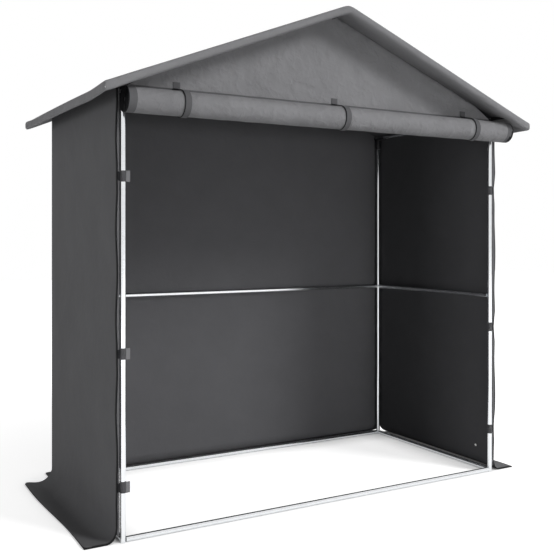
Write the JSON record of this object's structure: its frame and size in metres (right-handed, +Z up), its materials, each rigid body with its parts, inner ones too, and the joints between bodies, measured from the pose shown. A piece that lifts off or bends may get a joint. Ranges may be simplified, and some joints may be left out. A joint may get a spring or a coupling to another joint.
{
  "type": "bike shelter",
  "caption": "Open-fronted cloth bike shelter: bright steel tube frame, pitched overhanging roof, walls with ground flaps, and a front door panel rolled up under the gable.",
  "frame": {"origin": "on the ground at the middle of the plan", "axes": "+X to the right seen from the open front, +Y from front to back, +Z up"},
  "size_m": [2.32, 1.28, 2.2523],
  "materials": {
    "tube_steel": "bright galvanised round tube",
    "cover_cloth": "coated woven cloth, dark grey",
    "front_cloth": "coated woven cloth, mid grey in the light",
    "webbing": "black woven webbing",
    "zip_tape": "black zip tape with moulded teeth",
    "fitting_plastic": "black moulded plastic",
    "stud_metal": "dull pressed metal"
  },
  "bodies": {
    "root": {"front_left_post": "tube_steel", "front_right_post": "tube_steel", "back_left_post": "tube_steel", "back_right_post": "tube_steel", "front_ground_bar": "tube_steel", "back_ground_bar": "tube_steel", "left_ground_bar": "tube_steel", "right_ground_bar": "tube_steel", "back_mid_rail": "tube_steel", "left_mid_rail": "tube_steel", "right_mid_rail": "tube_steel", "front_tie_beam": "tube_steel", "left_purlin": "tube_steel", "right_purlin": "tube_steel", "ridge_bar": "tube_steel", "front_left_rafter": "tube_steel", "front_right_rafter": "tube_steel", "back_left_rafter": "tube_steel", "back_right_rafter": "tube_steel", "left_eave_tube": "tube_steel", "right_eave_tube": "tube_steel", "corner_fittings": "fitting_plastic", "roof_cover": "cover_cloth", "front_gable": "front_cloth", "back_wall": "cover_cloth", "left_wall": "cover_cloth", "right_wall": "cover_cloth", "left_ground_flap": "cover_cloth", "right_ground_flap": "cover_cloth", "back_ground_flap": "cover_cloth", "left_zip_strip": "zip_tape", "right_zip_strip": "zip_tape", "door_roll": "front_cloth", "left_roll_strap": "webbing", "middle_roll_strap": "webbing", "right_roll_strap": "webbing", "left_post_straps": "webbing", "right_post_straps": "webbing", "wall_studs": "stud_metal"}
  },
  "joints": []
}
